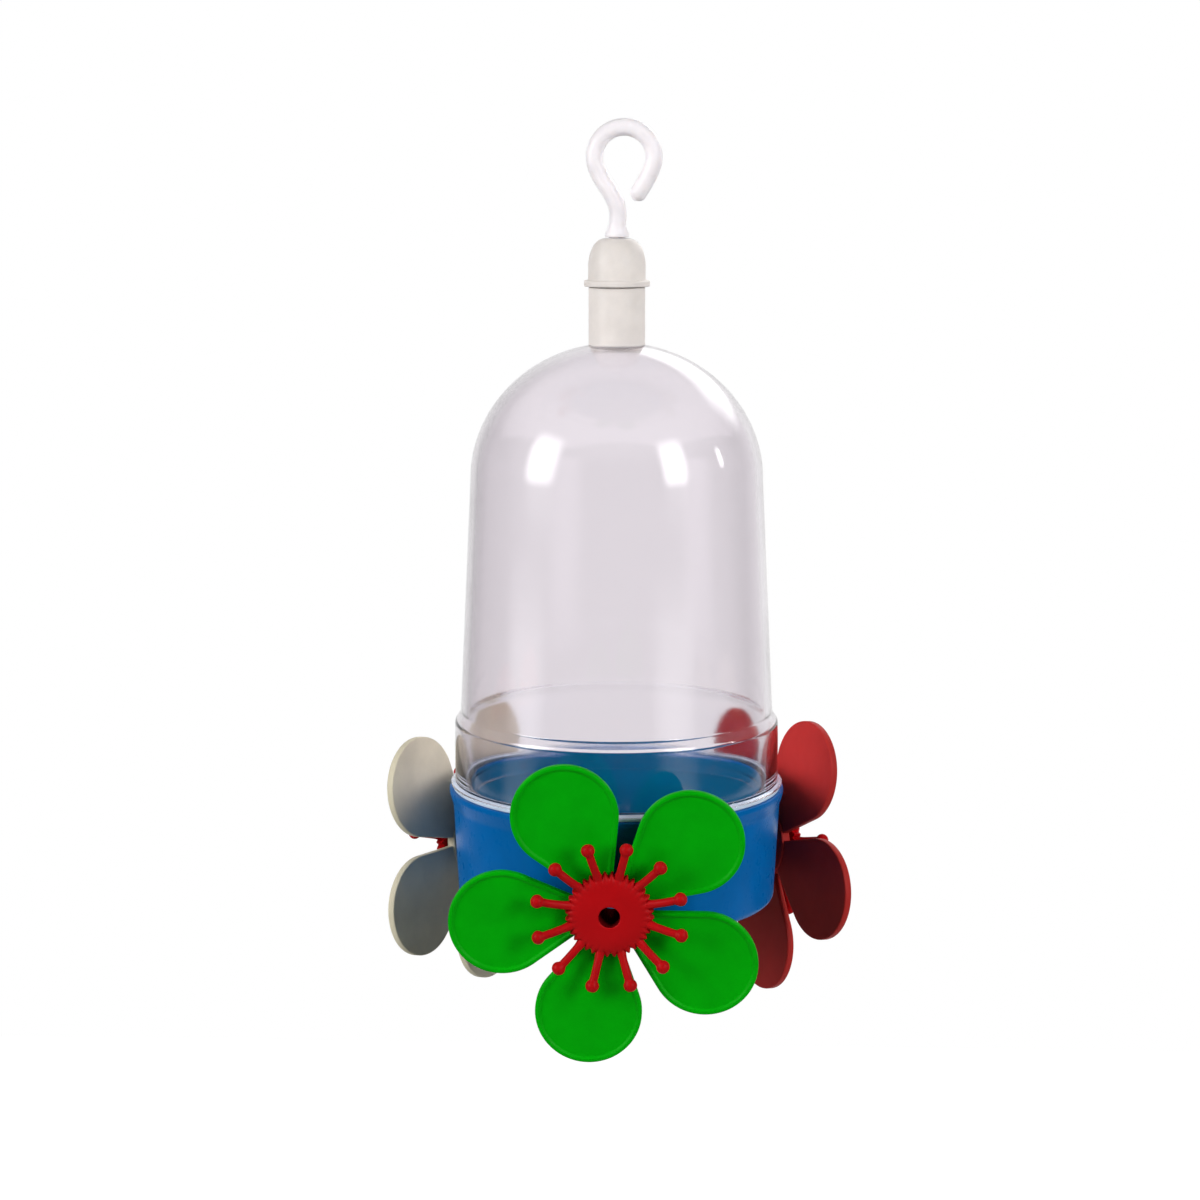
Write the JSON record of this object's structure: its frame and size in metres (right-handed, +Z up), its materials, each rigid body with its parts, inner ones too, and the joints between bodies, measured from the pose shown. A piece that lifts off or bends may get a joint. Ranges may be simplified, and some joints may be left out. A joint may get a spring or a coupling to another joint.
{
  "type": "hummingbird feeder",
  "caption": "Hanging nectar feeder: a clear domed reservoir screwed into a round base with flower-shaped feeding ports, hung by a swivelling hook in a cap on the dome's neck.",
  "frame": {"origin": "the point that the feeder hangs from: the top of the inside of the hook's eye, straight above the reservoir's axis", "axes": "+Z up along the reservoir's axis, -Y towards the front flower, +X to the right as the feeder is seen from the front"},
  "size_m": [0.1143, 0.1074, 0.2187],
  "materials": {
    "hook_plastic": "pale, slightly milky moulded plastic",
    "ivory_plastic": "satin ivory moulded plastic",
    "clear_plastic": "clear, with a faint lilac tint",
    "seal_rubber": "soft pale seal",
    "blue_plastic": "blue moulded plastic with a soft gloss",
    "green_petals": "satin green moulded plastic",
    "red_petals": "satin dark red moulded plastic",
    "white_petals": "satin warm white moulded plastic",
    "nozzle_red": "satin red moulded plastic"
  },
  "bodies": {
    "hanger": {"hook": "hook_plastic"},
    "reservoir": {"hanger_cap": "ivory_plastic", "neck_sleeve": "ivory_plastic", "reservoir_dome": "clear_plastic"},
    "seal": {"seal_ring": "seal_rubber"},
    "base": {"base_cup": "blue_plastic"},
    "front_nozzle": {"nozzle_front": "nozzle_red"},
    "front_flower": {"flower_green": "green_petals"},
    "right_nozzle": {"nozzle_right": "nozzle_red"},
    "right_flower": {"flower_red": "red_petals"},
    "left_nozzle": {"nozzle_left": "nozzle_red"},
    "left_flower": {"flower_white": "white_petals"}
  },
  "joints": [
    {"name": "hook_swivel", "type": "hinge", "parent": "hanger", "child": "reservoir", "pos_m": [0, 0, -0.0265], "axis": [0, 0, 1], "continuous": true},
    {"name": "base_lower", "type": "slide", "parent": "reservoir", "child": "seal", "axis": [0, 0, -1], "range_m": [0, 0.0036]},
    {"name": "base_turn", "type": "hinge", "parent": "seal", "child": "base", "pos_m": [0, 0, -0.1566], "axis": [0, 0, -1], "range_deg": [0, 360]},
    {"name": "nozzle_pull_front", "type": "slide", "parent": "base", "child": "front_nozzle", "axis": [0, -0.9962, -0.0872], "range_m": [0, 0.009]},
    {"name": "flower_spin_front", "type": "hinge", "parent": "front_nozzle", "child": "front_flower", "pos_m": [0, -0.03924, -0.1767], "axis": [0, -0.9962, -0.0872], "continuous": true},
    {"name": "nozzle_pull_right", "type": "slide", "parent": "base", "child": "right_nozzle", "axis": [0.8627, 0.4981, -0.0872], "range_m": [0, 0.009]},
    {"name": "flower_spin_right", "type": "hinge", "parent": "right_nozzle", "child": "right_flower", "pos_m": [0.03398, 0.01962, -0.1767], "axis": [0.8627, 0.4981, -0.0872], "continuous": true},
    {"name": "nozzle_pull_left", "type": "slide", "parent": "base", "child": "left_nozzle", "axis": [-0.8627, 0.4981, -0.0872], "range_m": [0, 0.009]},
    {"name": "flower_spin_left", "type": "hinge", "parent": "left_nozzle", "child": "left_flower", "pos_m": [-0.03398, 0.01962, -0.1767], "axis": [-0.8627, 0.4981, -0.0872], "continuous": true}
  ],
  "couplings": [
    {"joint": "base_lower", "follows": "base_turn", "m_per_rad": 0.00057296}
  ]
}
